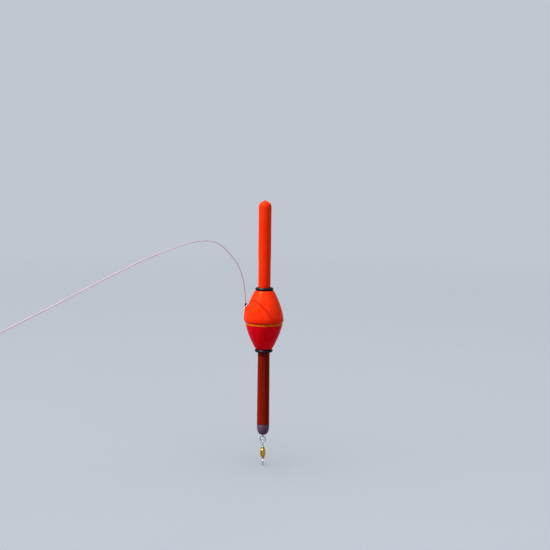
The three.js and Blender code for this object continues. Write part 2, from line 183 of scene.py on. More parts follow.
class Shape:
    """Points and faces in millimetres that become one piece."""

    def __init__(self):
        self.points = []
        self.faces = []

    def skin(self, rows, closed=False):
        """Faces between rows of points that run anticlockwise round an axis. A row of one is a pole."""
        numbered = []
        for row in rows:
            first = len(self.points)
            self.points.extend(Vector(p) for p in row)
            numbered.append(range(first, first + len(row)))
        pairs = list(zip(numbered, numbered[1:]))
        if closed:
            pairs.append((numbered[-1], numbered[0]))
        for low, high in pairs:
            count = max(len(low), len(high))
            for i in range(count):
                j = (i + 1) % count
                below = [low[i % len(low)], low[j % len(low)]]
                above = [high[j % len(high)], high[i % len(high)]]
                corners = list(dict.fromkeys(below + above))
                if len(corners) > 2:
                    self.faces.append(corners)

    def turned(self, profile, segments=ROUND, closed=True, place=None):
        """A solid of revolution. place(angle, radius, height) may give each point's own place."""
        rows = []
        for radius, height in profile:
            if radius < 1e-6:
                rows.append([(0, 0, height)])
                continue
            angles = [2 * math.pi * i / segments for i in range(segments)]
            if place:
                rows.append([place(a, radius, height) for a in angles])
            else:
                rows.append([(radius * math.cos(a), radius * math.sin(a), height) for a in angles])
        self.skin(rows, closed)

    def wire(self, path, radius, sides=WIRE_SIDES):
        """A round wire along a path, with rounded ends."""
        places = [Vector(p) for p in path]
        count = len(places)
        rows = []
        across = None
        for i, here in enumerate(places):
            before = places[max(i - 1, 0)]
            after = places[min(i + 1, count - 1)]
            along = (after - before).normalized()
            if across is None:
                across = along.orthogonal().normalized()
            across = (across - along * across.dot(along)).normalized()
            beside = along.cross(across)
            ring = []
            for side in range(sides):
                angle = 2 * math.pi * side / sides
                ring.append(here + radius * (across * math.cos(angle) + beside * math.sin(angle)))
            rows.append(ring)
        self.skin(self.capped(rows, places))

    def head(self, end, radius, length, fillet, segments):
        """A round head on a shank along the first axis, from the shank's end towards the loop."""
        disc = rounded([(0, 0, 0), (radius, 0, fillet), (radius, length, fillet), (0, length, 0)])
        standing = Shape()
        standing.turned(disc, segments=segments, closed=False)
        first = len(self.points)
        self.points += [Vector((end + p.z, p.y, -p.x)) for p in standing.points]
        self.faces += [[first + corner for corner in face] for face in standing.faces]

    @staticmethod
    def capped(rows, places):
        """The rows of a wire with a rounded end added at each side."""

        def cap(ring, centre, outward):
            size = (ring[0] - centre).length
            added = []
            for share in CAP_STEPS:
                lift = outward * (size * CAP_HEIGHT * share)
                width = math.sqrt(1 - share**2)
                added.append([centre + (p - centre) * width + lift for p in ring])
            return [*added, [centre + outward * (size * CAP_HEIGHT)]]

        start = (places[0] - places[1]).normalized()
        end = (places[-1] - places[-2]).normalized()
        return [*reversed(cap(rows[0], places[0], start)), *rows, *cap(rows[-1], places[-1], end)]

    def build(self, name, body, nodes, material, transform=None, sharp=38):
        """Makes the piece: it rides on a body, stands for CAD nodes and takes a material slot."""
        move = transform or Matrix.Identity(4)
        mesh = bpy.data.meshes.new(name)
        mesh.from_pydata([(move @ p) * MM for p in self.points], [], self.faces)
        mesh.validate()
        mesh.shade_smooth()
        mesh.set_sharp_from_angle(angle=math.radians(sharp))
        mesh.materials.append(material)
        piece = bpy.data.objects.new(name, mesh)
        bpy.context.scene.collection.objects.link(piece)
        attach(piece, body)
        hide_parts(*nodes)
        return piece


# ---------------------------------------------------------------- material nodes


class Look:
    """A Principled material and the nodes that feed it. Textures are placed in millimetres."""

    def __init__(self, name, **constants):
        self.material = bpy.data.materials.new(name)
        self.material.use_nodes = True
        self.nodes = self.material.node_tree.nodes
        self.links = self.material.node_tree.links
        self.shader = self.nodes["Principled BSDF"]
        for socket, value in constants.items():
            self.shader.inputs[socket.replace("_", " ")].default_value = value
        self.place = self.nodes.new("ShaderNodeTexCoord").outputs["Object"]

    def feed(self, node, inputs):
        for socket, value in inputs.items():
            if isinstance(value, bpy.types.NodeSocket):
                self.links.new(value, node.inputs[socket])
            elif value is not None:
                node.inputs[socket].default_value = value

    def coords(self, stretch=(1, 1, 1)):
        node = self.nodes.new("ShaderNodeMapping")
        self.feed(node, {"Vector": self.place, "Scale": tuple(s / MM for s in stretch)})
        return node.outputs["Vector"]

    def noise(self, scale, detail=3.0, stretch=(1, 1, 1), roughness=0.55):
        """Noise with features of about 1/scale millimetres."""
        node = self.nodes.new("ShaderNodeTexNoise")
        self.feed(node, {"Vector": self.coords(stretch), "Scale": scale})
        self.feed(node, {"Detail": detail, "Roughness": roughness})
        return node.outputs["Fac"]

    def cells(self, scale):
        """Distance to the nearest of scattered points, about 1/scale millimetres apart."""
        node = self.nodes.new("ShaderNodeTexVoronoi")
        self.feed(node, {"Vector": self.coords(), "Scale": scale})
        return node.outputs["Distance"]

    def height(self):
        """How far up the float a point is, in millimetres."""
        node = self.nodes.new("ShaderNodeSeparateXYZ")
        self.feed(node, {"Vector": self.coords()})
        return node.outputs["Z"]

    def away_from(self, spot):
        """How far a point is from a spot, in millimetres."""
        node = self.nodes.new("ShaderNodeVectorMath")
        node.operation = "DISTANCE"
        self.feed(node, {0: self.coords(), 1: spot})
        return node.outputs["Value"]

    def spread(self, value, low, high, start=0.0, end=1.0):
        """A value's stretch from low to high as start to end, eased at both."""
        node = self.nodes.new("ShaderNodeMapRange")
        node.interpolation_type = "SMOOTHSTEP"
        self.feed(node, {"Value": value, "From Min": low, "From Max": high})
        self.feed(node, {"To Min": start, "To Max": end})
        return node.outputs["Result"]

    def sum(self, operation, first, second):
        """One step of arithmetic on two values."""
        node = self.nodes.new("ShaderNodeMath")
        node.operation = operation
        self.feed(node, {0: first, 1: second})
        return node.outputs["Value"]

    def mix(self, share, first, second):
        """A colour between two, by the colour sockets of a Mix node."""
        node = self.nodes.new("ShaderNodeMix")
        node.data_type = "RGBA"
        colours = [v if isinstance(v, bpy.types.NodeSocket) else (*v, 1) for v in (first, second)]
        self.feed(node, {0: share, 6: colours[0], 7: colours[1]})
        return node.outputs[2]

    def bump(self, height, depth, under=None):
        """A normal from a height from 0 to 1, depth millimetres deep."""
        node = self.nodes.new("ShaderNodeBump")
        self.feed(node, {"Height": height, "Distance": depth * MM, "Strength": 1.0, "Normal": under})
        return node.outputs["Normal"]

    def finish(self, colour=None, roughness=None, normal=None):
        """Joins what is given to the shader, and gives back the material."""
        sockets = {"Base Color": colour, "Roughness": roughness, "Normal": normal}
        self.feed(self.shader, {k: v for k, v in sockets.items() if v is not None})
        return self.material


BAND_MIDDLE = -1.475
BAND_FLECK = (-0.35, -7.7, -1.3)
WET_LINE = 1.1  # the body is wet and a little darker below this height
SIGNAL_DEEP = (0.76, 0.068, 0.013)
SIGNAL_PALE = (0.82, 0.085, 0.019)
SIGNAL_SPECK = (0.42, 0.03, 0.01)
SIGNAL_WET = (0.64, 0.04, 0.016)
SIGNAL_SCUFF = (0.86, 0.13, 0.006)
# the dark red painted into the dents as shade
SIGNAL_PIT_SHADE = (0.5, 0.03, 0.008)
SHELL_PITS = [  # small dents, their dark colour painted shade, the last two at the mould's gate: x, y, z, radius
    (3.3, -3.85, 10.05, 0.42),
    (-0.4, -7.95, 1.8, 0.44),
    (-0.45, -8.06, 0.3, 0.26),
    (-0.45, -8.05, -0.2, 0.26),
]
SHELL_SCUFFS = [  # places rubbed to a brighter orange: x, y, z, radius
    (-5.4, -4.3, 5.4, 0.7),
    (-4.75, -5.35, 4.5, 0.8),
    (-3.6, -5.9, 5.5, 0.7),
    (-2.5, -7.25, 3.1, 0.6),
]


def signal_plastic(name, pits=(), scuffs=(), wet=False):
    """Fluorescent orange-red moulding: fine orange peel, faint flow marks, specks of dirt."""
    look = Look(name, **{"Specular_IOR_Level": 0.18, "Diffuse_Roughness": 0.2})
    flow = look.noise(0.22, 4, stretch=(1, 1, 0.35))
    colour = look.mix(look.spread(flow, 0.3, 0.7), SIGNAL_DEEP, SIGNAL_PALE)
    specks = look.spread(look.cells(0.55), 0.035, 0.06, 1.0, 0.0)
    worn = look.spread(look.noise(3.0, 5), 0.5, 0.72)
    colour = look.mix(look.sum("MULTIPLY", specks, 0.55), colour, SIGNAL_SPECK)
    roughness = look.spread(look.noise(1.6, 4), 0.2, 0.8, 0.3, 0.44)
    if wet:
        below = look.spread(look.height(), WET_LINE - 0.25, WET_LINE + 0.1, 1.0, 0.0)
        colour = look.mix(look.sum("MULTIPLY", below, 0.5), colour, SIGNAL_WET)
        roughness = look.sum("SUBTRACT", roughness, look.sum("MULTIPLY", below, 0.12))
    normal = look.bump(look.noise(1.9, 2), 0.012)
    normal = look.bump(look.noise(9.0, 3, stretch=(1, 1, 0.2)), 0.0025, normal)
    for x, y, z, radius in scuffs:
        rubbed = look.spread(look.away_from((x, y, z)), 0.0, radius, 1.0, 0.0)
        colour = look.mix(look.sum("MULTIPLY", rubbed, 0.45), colour, SIGNAL_SCUFF)
    # each dent's colour is darkened towards SIGNAL_PIT_SHADE as painted shade, and its bump presses it
    # in
    for x, y, z, radius in pits:
        dent_and_shade = look.spread(look.away_from((x, y, z)), radius * 0.45, radius, 1.0, 0.0)
        colour = look.mix(look.sum("MULTIPLY", dent_and_shade, 0.7), colour, SIGNAL_PIT_SHADE)
        normal = look.bump(look.sum("SUBTRACT", 1.0, dent_and_shade), 0.03, normal)
    roughness = look.sum("ADD", roughness, look.sum("MULTIPLY", worn, 0.05))
    return look.finish(colour, roughness, normal)


def deep_red_plastic(name, pale, dark, streak=0.25):
    """Glossy moulding that varies between two reds, with faint streaks along the float."""
    look = Look(name, **{"Specular_IOR_Level": 0.2})
    flow = look.noise(0.5, 4, stretch=(1, 1, streak))
    colour = look.mix(look.spread(flow, 0.3, 0.7), dark, pale)
    film = look.spread(look.noise(0.9, 6, roughness=0.7), 0.52, 0.75)
    colour = look.mix(look.sum("MULTIPLY", film, 0.18), colour, (0.12, 0.03, 0.012))
    roughness = look.spread(film, 0.0, 1.0, 0.24, 0.38)
    normal = look.bump(look.noise(2.2, 2), 0.01)
    normal = look.bump(look.noise(8.0, 3, stretch=(1, 1, 0.15)), 0.003, normal)
    return look.finish(colour, roughness, normal)


def band_plastic():
    """Amber yellow, slightly uneven, with grime against the shells above and below."""
    look = Look("band_amber", **{"Specular_IOR_Level": 0.2})
    colour = look.mix(look.noise(0.8, 4), (0.6, 0.165, 0.002), (0.72, 0.22, 0.003))
    off_middle = look.sum("ABSOLUTE", look.sum("SUBTRACT", look.height(), BAND_MIDDLE), 0.0)
    grime = look.spread(off_middle, 0.3, 0.5)
    grime = look.sum("MULTIPLY", grime, look.spread(look.noise(2.5, 5), 0.35, 0.65))
    colour = look.mix(grime, colour, (0.25, 0.04, 0.004))
    fleck = look.spread(look.away_from(BAND_FLECK), 0.12, 0.3, 1.0, 0.0)
    colour = look.mix(look.sum("MULTIPLY", fleck, 0.7), colour, (0.7, 0.5, 0.3))
    roughness = look.spread(look.noise(3.0, 3), 0.2, 0.8, 0.25, 0.4)
    return look.finish(colour, roughness, look.bump(look.noise(2.4, 3), 0.012))


def wet_rubber():
    """Glossy black rubber with fine pores and a dusting of dried water marks, both colours tinted blue
    as a painted reflection.
    """
    look = Look("rubber_black", **{"Specular_IOR_Level": 0.75})
    dust = look.spread(look.noise(1.5, 6, roughness=0.7), 0.55, 0.8)
    # the blue in both colours is a painted reflection
    colour = look.mix(look.sum("MULTIPLY", dust, 0.3), (0.01, 0.014, 0.026), (0.05, 0.06, 0.085))
    roughness = look.spread(look.noise(3.5, 4), 0.25, 0.75, 0.34, 0.46)
    normal = look.bump(look.noise(7.0, 3), 0.012)
    return look.finish(colour, roughness, normal)


def nylon():
    look = Look("nylon_white", **{"Specular_IOR_Level": 0.4})
    colour = look.mix(look.noise(1.2, 5), (0.72, 0.68, 0.58), (0.82, 0.79, 0.71))
    roughness = look.spread(look.noise(4.0, 3), 0.2, 0.8, 0.42, 0.58)
    return look.finish(colour, roughness, look.bump(look.noise(5.0, 3, stretch=(1, 1, 0.3)), 0.01))


def carbon():
    look = Look("carbon_black", **{"Specular_IOR_Level": 0.5})
    fibre = look.noise(9.0, 4, stretch=(1, 1, 0.05))
    colour = look.mix(look.spread(fibre, 0.35, 0.65), (0.012, 0.012, 0.014), (0.05, 0.052, 0.058))
    roughness = look.spread(fibre, 0.3, 0.7, 0.34, 0.5)
    return look.finish(colour, roughness, look.bump(fibre, 0.012))


def foot_plastic():
    look = Look("foot_smoke", **{"Specular_IOR_Level": 0.45})
    colour = look.mix(look.noise(1.1, 5), (0.15, 0.085, 0.125), (0.2, 0.115, 0.16))
    scuff = look.spread(look.noise(2.0, 7, roughness=0.75), 0.56, 0.7)
    colour = look.mix(look.sum("MULTIPLY", scuff, 0.35), colour, (0.24, 0.22, 0.28))
    roughness = look.spread(scuff, 0.0, 1.0, 0.3, 0.55)
    return look.finish(colour, roughness, look.bump(look.noise(4.0, 3), 0.014))


def brass():
    """Turned brass: fine rings round the axis and brown tarnish in patches."""
    look = Look("brass_turned", **{"Metallic": 1.0})
    rings = look.noise(14.0, 3, stretch=(0.12, 0.12, 1))
    tarnish = look.spread(look.noise(0.9, 6, roughness=0.65), 0.45, 0.7)
    colour = look.mix(look.spread(rings, 0.3, 0.7), (0.62, 0.4, 0.13), (0.8, 0.56, 0.22))
    colour = look.mix(look.sum("MULTIPLY", tarnish, 0.55), colour, (0.28, 0.15, 0.05))
    dull = look.sum("MULTIPLY", tarnish, 0.15)
    roughness = look.sum("ADD", look.spread(rings, 0.3, 0.7, 0.18, 0.3), dull)
    return look.finish(colour, roughness, look.bump(rings, 0.01))


def steel():
    """Drawn stainless wire with fine scratches and a little brown staining."""
    look = Look("steel_wire", **{"Metallic": 1.0})
    lines = look.noise(11.0, 4, stretch=(1, 1, 0.35))
    stain = look.spread(look.noise(1.3, 6, roughness=0.7), 0.55, 0.75)
    colour = look.mix(look.spread(lines, 0.3, 0.7), (0.5, 0.5, 0.51), (0.72, 0.72, 0.73))
    colour = look.mix(look.sum("MULTIPLY", stain, 0.45), colour, (0.2, 0.13, 0.08))
    dull = look.sum("MULTIPLY", stain, 0.2)
    roughness = look.sum("ADD", look.spread(lines, 0.3, 0.7, 0.2, 0.34), dull)
    return look.finish(colour, roughness, look.bump(lines, 0.008))


def nylon_line(name, pale, dark):
    """Monofilament: clear-skinned nylon, its tint and gloss uneven along it."""
    look = Look(name, **{"Specular_IOR_Level": 0.5, "IOR": 1.53})
    colour = look.mix(look.spread(look.noise(0.12, 4), 0.3, 0.7), dark, pale)
    roughness = look.spread(look.noise(1.5, 4), 0.3, 0.7, 0.18, 0.34)
    return look.finish(colour, roughness, look.bump(look.noise(6.0, 3), 0.006))


looks = {
    "antenna": signal_plastic("signal_antenna"),
    "shell": signal_plastic("signal_shell", SHELL_PITS, SHELL_SCUFFS, wet=True),
    "lower": deep_red_plastic("deep_red_shell", (0.74, 0.004, 0.032), (0.6, 0.002, 0.016)),
    # keel: the fluorescent red darkened as painted shade
    "keel": deep_red_plastic("keel_red_painted_shade", (0.31, 0.032, 0.009), (0.23, 0.021, 0.005), 0.06),
    "band": band_plastic(),
    "rubber": wet_rubber(),
    "nylon": nylon(),
    "carbon": carbon(),
    "foot": foot_plastic(),
    "brass": brass(),
    "steel": steel(),
    "line": nylon_line("line_nylon", (0.78, 0.55, 0.64), (0.66, 0.5, 0.54)),
    # knot: the line's nylon darkened to violet as painted shade in its tight turns
    "knot": nylon_line("knot_nylon_painted_shade", (0.2, 0.12, 0.25), (0.1, 0.055, 0.14)),
}


# ---------------------------------------------------------------- fishing line

LINE_WIDTH = 0.35
LINE_ROUTE = [
    (-7.65, 0, 7.35),
    (-7.9, -2, 10),
    (-8, -4.1, 12.4),
    (-8.35, -7.1, 15.8),
    (-8.9, -10.7, 18.9),
    (-9.8, -14.2, 22.1),
    (-11.1, -17.4, 25.2),
    (-13.6, -22.5, 29),
    (-16.3, -32, 32.8),
    (-19.1, -44, 35.3),
    (-21.7, -57, 36.4),
    (-25, -67.5, 36.6),
    (-28.4, -77.5, 36.1),
    (-33.4, -91, 34.7),
    (-38.2, -101.5, 33.1),
    (-44.2, -114.5, 30.4),
    (-51.2, -129, 27.1),
    (-60.2, -147.5, 22.7),
    (-69.2, -166, 18.5),
]
LINE_STEPS = 8
KNOT_TURNS = 2.0
HITCH = {"points": 18, "start": -250, "sweep": 320, "half_pitch": 0.14}  # degrees, millimetres
SIDE_EYE = {"loop": 0.42, "wire": 0.18, "head": 0.42, "head_length": 0.3}
END_LOOP = {"knot_top": 2.2, "half_width": 1.9, "length": 8.4, "points": 40, "narrowing": 0.35}


def coil(centre_line, radius, turns, start, end, steps_per_turn=16):
    """Points of a winding about a vertical line, from one height to another."""
    x, y = centre_line
    count = int(turns * steps_per_turn)
    points = []
    for i in range(count + 1):
        angle = 2 * math.pi * i / steps_per_turn
        height = start + (end - start) * i / count
        points.append((x + radius * math.cos(angle), y + radius * math.sin(angle), height))
    return points


def make_line():
    route = [Vector(p) for p in LINE_ROUTE]
    knot_exit = Vector((route[0].x, route[0].y, knot_box.top - 0.1))
    path = [knot_exit, *catmull(route, LINE_STEPS)]
    data = bpy.data.curves.new("line", "CURVE")
    data.dimensions = "3D"
    data.bevel_depth = LINE_WIDTH / 2 * MM
    data.bevel_resolution = 3
    data.use_fill_caps = True
    spline = data.splines.new("POLY")
    spline.points.add(len(path) - 1)
    for spot, place in zip(spline.points, path):
        spot.co = (*(place * MM), 1)
    data.materials.append(looks["line"])
    line = bpy.data.objects.new("line", data)
    bpy.context.scene.collection.objects.link(line)
    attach(line, "float_body")
    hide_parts("fishing_line")
    length = sum((b - a).length for a, b in zip(path, path[1:]))
    return line, path, length


def make_eye_knot():
    """A clinch knot: two strands round the eye's wire, turns wound up the line, a cut tag end."""
    shape = Shape()
    x = (knot_box.left + knot_box.right) / 2
    strand = LINE_WIDTH / 2 * 0.8
    reach = SIDE_EYE["wire"] + strand
    hitch = []
    for i in range(HITCH["points"] + 1):
        share = i / HITCH["points"]
        angle = math.radians(HITCH["start"] + HITCH["sweep"] * share)
        y = HITCH["half_pitch"] * (2 * share - 1)
        hitch.append((x + reach * math.sin(angle), y, side_eye_box.middle + reach * math.cos(angle)))
    shape.wire(hitch, strand)
    shape.wire([(x, 0.0, knot_box.bottom - 0.25), (x, 0.0, knot_box.top)], strand)
    winding = knot_box.right - x - strand
    low, high = knot_box.bottom + 0.05, knot_box.top - 0.1
    shape.wire(coil((x, 0), winding, KNOT_TURNS, low, high, 18), strand)
    tag = [(x - winding, -0.1, low), (x - 0.35, -0.4, low + 0.1), (x - 0.4, -0.65, low + 0.3)]
    shape.wire(catmull(tag, 5), strand)
    return shape.build("line_knot", "float_body", ["eye_knot"], looks["knot"], sharp=60)


def make_end_loop(path):
    """The loop the line ends in: a long eye of the same line, closed by a wound knot."""
    along = (path[-1] - path[-2]).normalized()
    turn = Vector((0, 0, 1)).rotation_difference(along).to_matrix().to_4x4()
    move = Matrix.Translation(path[-1]) @ turn
    strand = LINE_WIDTH / 2
    knot_top = END_LOOP["knot_top"]
    narrow = END_LOOP["narrowing"]
    shape = Shape()
    eye = []
    for i in range(END_LOOP["points"] + 1):
        angle = math.pi * (i / END_LOOP["points"] * 2 - 0.5)
        share = (1 + math.sin(angle)) / 2
        width = END_LOOP["half_width"] * (narrow + (1 - narrow) * share) ** 0.5
        height = knot_top - 0.3 + END_LOOP["length"] * share
        eye.append((width * math.cos(angle), 0.12 * math.cos(angle / 2), height))
    shape.wire(eye, strand)
    shape.wire(coil((0, 0), 0.46, 5.0, 0.5, knot_top - 0.1, 18), strand)
    shape.wire([(0, 0, -0.1), (0, 0, knot_top)], strand)
    shape.wire([(0.45, 0.1, 0.5), (0.62, 0.2, 0.35), (0.7, 0.3, 0.1)], strand)
    nodes = ["line_end_loop"]
    return shape.build("line_loop", "float_body", nodes, looks["line"], move, sharp=60)


line, line_path, line_length = make_line()
line_knot = make_eye_knot()
line_loop = make_end_loop(line_path)


# ---------------------------------------------------------------- shapes of turned pieces

UPPER_OUTLINE = {"radius": 8.12, "length": 17.7, "bulge": 1.5, "taper": 0.83}
LOWER_OUTLINE = {"radius": 7.9, "length": 17.0, "bulge": 1.5, "taper": 0.9}
WALL = 0.6
SHELL_SEGMENTS = 300
SHELL_CROWDING = 0.32  # how far the segments are drawn towards +X and -X
SEAM_WIDTH = 0.09  # mould parting lines, at +X and -X
SEAM_HEIGHT = 0.025


def outline_radius(outline, height):
    share = abs(height) / outline["length"]
    return outline["radius"] * (1 - share ** outline["bulge"]) ** outline["taper"]


def eased(value, low, high):
    """0 below low, 1 above high and a smooth step between."""
    share = min(1.0, max(0.0, (value - low) / (high - low)))
    return share * share * (3 - 2 * share)


def shell_angles():
    """Angles round a shell, closest together where its seams and its rib are."""
    steps = [2 * math.pi * i / SHELL_SEGMENTS for i in range(SHELL_SEGMENTS)]
    return [step - SHELL_CROWDING * math.sin(2 * step) for step in steps]


def seam(angle, radius):
    """How far a mould's parting line stands out at an angle."""
    across = abs(radius * math.sin(angle))
    return SEAM_HEIGHT * (1 - eased(across, SEAM_WIDTH * 0.4, SEAM_WIDTH))


def shell_rings(profile, relief=None):
    """Rings of points for a (radius, height) profile, moved out by relief(angle, radius, height)."""
    angles = shell_angles()
    rings = []
    for radius, height in profile:
        ring = []
        for angle in angles:
            out = radius + (relief(angle, radius, height) if relief else 0.0)
            ring.append((out * math.cos(angle), out * math.sin(angle), height))
        rings.append(ring)
    return rings


# ---------------------------------------------------------------- antenna

DOME_HEIGHT = 2.65
NIB_HEIGHT = 0.25
NIB_RADIUS = 0.36
ANTENNA_SLIM_TO = 23.5
ANTENNA_FULL_FROM = 28.0
SPIGOT = {"radius": 1.95, "bore": 1.5, "length": 6.04}
GROOVES = {"count": 3, "first": 1.8, "spacing": 1.2, "half_width": 0.2, "depth": 0.14}
ANTENNA_BORE = 2.0
STEM_SEGMENTS = 160
STEM_SEAM = 0.7  # height of the stems' parting lines, as a share of the body's
SOCKET = {"bore": 2.0, "stem": 2.2, "floor": 3.2, "waist": 2.5}  # the last two above its bottom
CORE_SEAT = 1.56
RING_FLASH = 0.022


def make_antenna():
    """The hollow antenna: a grooved spigot, a slimmer lower third, and a dome with a moulded nib."""
    bottom, top = antenna_box.bottom, antenna_box.top
    base = bottom + SPIGOT["length"]
    base_radius = cad_radius("antenna_tube", base)
    top_radius = antenna_box.radius
    dome_base = top - NIB_HEIGHT - DOME_HEIGHT
    spigot = SPIGOT["radius"]
    foot = rounded([(SPIGOT["bore"], bottom, 0), (spigot, bottom, 0.35), (spigot, bottom + 1.4, 0)])
    grooves = []
    for i in range(GROOVES["count"]):
        middle = bottom + GROOVES["first"] + GROOVES["spacing"] * i
        floor = (spigot - GROOVES["depth"], middle, 0.12)
        edges = [middle - GROOVES["half_width"], middle + GROOVES["half_width"]]
        grooves += rounded([(spigot, edges[0], 0), floor, (spigot, edges[1], 0)])
    seat = rounded([(spigot, base, 0), (base_radius, base, 0.12), (base_radius + 0.01, base + 1, 0)])
    slim_radius = cad_radius("antenna_tube", ANTENNA_SLIM_TO)
    full_radius = cad_radius("antenna_tube", ANTENNA_FULL_FROM)
    tube = []
    for i in range(1, 37):
        height = base + 1 + (dome_base - base - 1) * i / 36
        widening = (full_radius - slim_radius) * eased(height, ANTENNA_SLIM_TO, ANTENNA_FULL_FROM)
        rim = (top_radius - full_radius) * eased(height, dome_base - 2.5, dome_base)
        tube.append((slim_radius + widening + rim, height))
    dome = []
    for i in range(1, 24):
        angle = math.pi / 2 * i / 24
        dome.append((top_radius * math.cos(angle), dome_base + DOME_HEIGHT * math.sin(angle)))
    dome = [place for place in dome if place[0] > NIB_RADIUS + 0.1]
    nib = rounded(
        [(*dome[-1], 0), (NIB_RADIUS, top - 0.26, 0.06), (NIB_RADIUS - 0.08, top, 0.14), (0, top, 0)]
    )[1:]
    bore = rounded(
        [(0, dome_base + 1.6, 0), (ANTENNA_BORE, dome_base + 0.9, 1.2), (ANTENNA_BORE, base + 0.6, 0)]
    )
    inside = [*bore, (SPIGOT["bore"], base)]

    def place(angle, radius, height):
        out = radius
        if radius > base_radius - 0.2 and base + 0.3 < height < dome_base + 1.2:
            out += seam(angle, radius) * STEM_SEAM
        return (out * math.cos(angle), out * math.sin(angle), height)

    shape = Shape()
    profile = [*inside, *foot, *grooves, *seat, *tube, *dome, *nib]
    shape.turned(profile, segments=STEM_SEGMENTS, closed=False, place=place)
    return shape.build("antenna", "antenna", ["antenna_tube"], looks["antenna"])


def make_rubber_ring(name, body, node, box):
    """A rubber ring with the fine flash line that its mould leaves round the outside."""
    section = (box.top - box.bottom) / 2
    ring_radius = box.radius - section
    profile = []
    count = 44
    for i in range(count):
        angle = 2 * math.pi * i / count
        flash = RING_FLASH * (1 - eased(abs(math.sin(angle / 2)), 0.02, 0.08))
        size = section + flash
        profile.append((ring_radius + size * math.cos(angle), box.middle + size * math.sin(angle)))
    shape = Shape()
    shape.turned(profile, segments=128)
    return shape.build(name, body, [node], looks["rubber"], sharp=70)


def make_socket():
    """The nylon bush that the antenna plugs into, chamfered at its mouth."""
    top, bottom = socket_box.top, socket_box.bottom
    floor = bottom + SOCKET["floor"]
    waist = bottom + SOCKET["waist"]
    stem, bore = SOCKET["stem"], SOCKET["bore"]
    profile = rounded(
        [
            (0, waist, 0),
            (CORE_SEAT, waist, 0.1),
            (CORE_SEAT, bottom, 0.1),
            (stem, bottom, 0.25),
            (stem, floor, 0.2),
            (socket_box.radius, floor + 1, 0.3),
            (socket_box.radius, top, 0.08),
            (bore + 0.12, top, 0.05),
            (bore, top - 0.2, 0.05),
            (bore, floor, 0.25),
            (0, floor, 0),
        ]
    )
    shape = Shape()
    shape.turned(profile, closed=False)
    return shape.build("socket_bush", "float_body", ["antenna_socket"], looks["nylon"])


# ---------------------------------------------------------------- body

RIB = {"bottom": -1.0, "crest": 5.45, "top": 6.0, "low": 0.12, "proud": 0.9, "half_width": 0.9}
EYE_BOSS = {"radius": 0.6, "proud": 0.1}
GATE = {"bottom": -0.9, "top": 0.5, "half_width": 0.16, "proud": 0.05}
NECK_BORE = 2.77
NECK_STEP = {"radius": 3.3, "bottom": 8.6, "top": 11.0}
UPPER_INSIDE = (10.8, 1.1)  # heights between which the inside follows the outline
LOWER_INSIDE = (-3.15, -9.4)
JOINT_BORE = 6.82
JOINT_TOP = 0.9
UPPER_RIM = -1.0
BAND_RIM = {"top": -1.04, "bottom": -1.91, "sleeve": 6.75, "bore": 6.35}
LOWER_NECK = {"bore": 2.0, "radius": 2.7, "top": -6.5}
CORE_BORE = 1.0


def rib_relief(angle, radius, height):
    """The rib under the side eye: it rises towards its crest, then drops back to the body."""
    if math.cos(angle) > 0:
        return 0.0
    across = abs(radius * math.sin(angle))
    climb = min(1.0, max(0.0, (height - RIB["bottom"]) / (RIB["crest"] - RIB["bottom"])))
    drop = 1 - eased(height, RIB["crest"] - 0.1, RIB["top"])
    side = 1 - eased(across, RIB["half_width"] * 0.15, RIB["half_width"] * 1.6)
    proud = RIB["low"] + (RIB["proud"] - RIB["low"]) * climb
    return proud * drop * side


def boss_relief(angle, radius, height):
    """The low boss that the eye's shank comes out of."""
    if math.cos(angle) > 0:
        return 0.0
    away = math.hypot(radius * math.sin(angle), height - side_eye_box.middle)
    return EYE_BOSS["proud"] * (1 - eased(away, 0.25, EYE_BOSS["radius"]))


def gate_relief(angle, radius, height):
    """The trimmed stub of moulding plastic at the front, just above the band."""
    if math.sin(angle) > 0:
        return 0.0
    across = abs(radius * math.cos(angle) + 0.3)
    width = 1 - eased(across, GATE["half_width"] * 0.4, GATE["half_width"] * 1.6)
    start = eased(height, GATE["bottom"], GATE["bottom"] + 0.3)
    end = 1 - eased(height, GATE["top"] - 0.4, GATE["top"])
    return GATE["proud"] * width * start * end


def upper_relief(angle, radius, height):
    rib = rib_relief(angle, radius, height)
    other = boss_relief(angle, radius, height) + gate_relief(angle, radius, height)
    return rib + other + seam(angle, radius)


def heights(start, end, count):
    return [start + (end - start) * i / count for i in range(count + 1)]


def make_upper_shell():
    """The hollow upper shell, with its rib, eye boss and gate, open at the neck and the joint."""
    top, rim = upper_box.top, UPPER_RIM
    shoulder = top - 0.3
    rim_radius = band_box.radius + 0.04
    lip = [(rim_radius - 0.1, rim, 0), (rim_radius, rim, 0.05), (rim_radius + 0.18, rim + 0.35, 0.1)]
    outside = rounded(lip)[:-1]
    for z in heights(-0.45, 1.2, 11):
        tuck = 0.03 * (1 - eased(z, -0.6, 0.6))
        outside.append((outline_radius(UPPER_OUTLINE, z) - tuck, z))
    outside += [(outline_radius(UPPER_OUTLINE, z), z) for z in heights(1.3, shoulder, 74)]
    edge = outline_radius(UPPER_OUTLINE, shoulder)
    outside += rounded([(edge, shoulder, 0), (edge - 0.2, top, 0.22), (NECK_BORE, top, 0)])[1:-1]
    step, step_bottom = NECK_STEP["radius"], NECK_STEP["bottom"]
    inside = [(NECK_BORE, top), (NECK_BORE, step_bottom), (step, step_bottom), (step, NECK_STEP["top"])]
    inside += [(outline_radius(UPPER_OUTLINE, z) - WALL, z) for z in heights(*UPPER_INSIDE, 12)]
    inside += [(JOINT_BORE, JOINT_TOP), (JOINT_BORE, rim)]
    shape = Shape()
    shape.skin([*shell_rings(outside, upper_relief), *shell_rings(inside)], closed=True)
    look = looks["shell"]
    return shape.build("body_upper", "float_body", ["upper_shell"], look, sharp=50)


